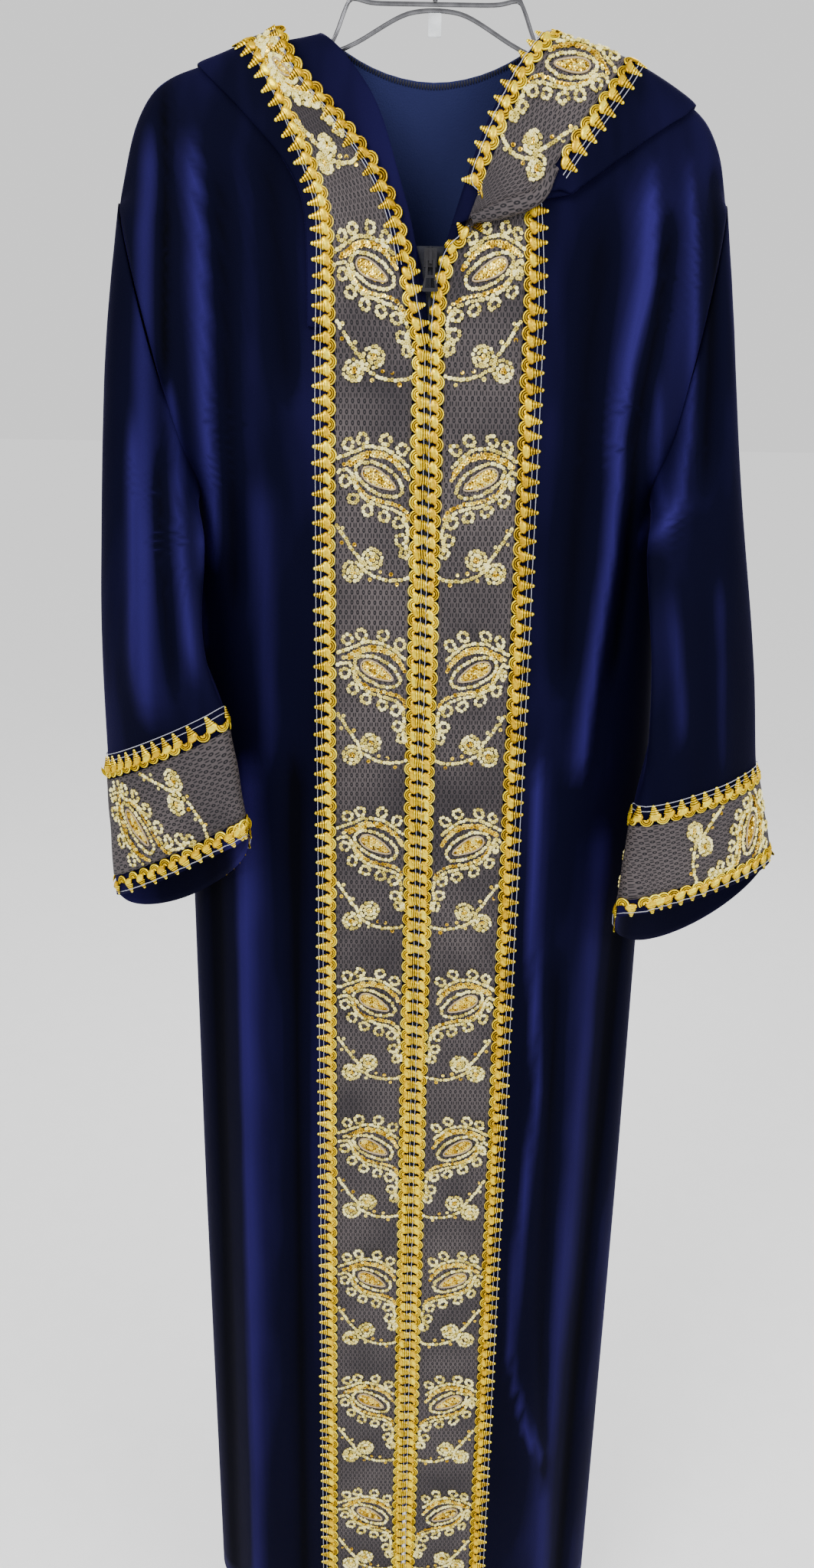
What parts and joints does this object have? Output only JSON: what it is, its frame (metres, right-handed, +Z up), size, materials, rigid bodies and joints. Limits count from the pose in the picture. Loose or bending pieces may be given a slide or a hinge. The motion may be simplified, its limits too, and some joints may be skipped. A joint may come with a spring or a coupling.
{
  "type": "hooded velvet robe on a wire hanger",
  "caption": "Long hooded velvet robe with lace bands and picot braid down the open front, hood and cuffs, hanging on a wire hanger.",
  "frame": {"origin": "inside top of the hanger's hook, where a rail holds it", "axes": "+Z up, -Y the robe's front, +X the wearer's left"},
  "size_m": [0.5754, 0.1624, 1.5959],
  "materials": {
    "velvet": "navy velvet pile",
    "lace": "taupe mesh with cord and sequin embroidery",
    "braid": "gold metallic picot braid",
    "zip_tape": "woven tape",
    "zip_metal": "charcoal enamel",
    "steel": "plated wire",
    "clear_plastic": "clear"
  },
  "bodies": {
    "robe": {"back": "velvet", "braid_hood_inner": "braid", "braid_hood_outer": "braid", "braid_inner_left": "braid", "braid_inner_right": "braid", "braid_outer_left": "braid", "braid_outer_right": "braid", "cuff_braid_lower_left": "braid", "cuff_braid_lower_right": "braid", "cuff_braid_upper_left": "braid", "cuff_braid_upper_right": "braid", "cuff_lace_left": "lace", "cuff_lace_right": "lace", "front_left": "velvet", "front_right": "velvet", "hanger_clip": "clear_plastic", "hanger_hook": "steel", "hanger_wire": "steel", "hood_left": "velvet", "hood_right": "velvet", "lace_front_left": "lace", "lace_front_right": "lace", "lace_hood": "lace", "sleeve_left": "velvet", "sleeve_right": "velvet", "zip_slider": "zip_metal", "zip_tape": "zip_tape"},
    "pull": {"zip_pull": "zip_metal"}
  },
  "joints": [
    {"name": "pull_swing", "type": "hinge", "parent": "robe", "child": "pull", "pos_m": [0, -0.0418, -0.2515], "axis": [-1, 0, 0], "range_deg": [0, 120]}
  ]
}
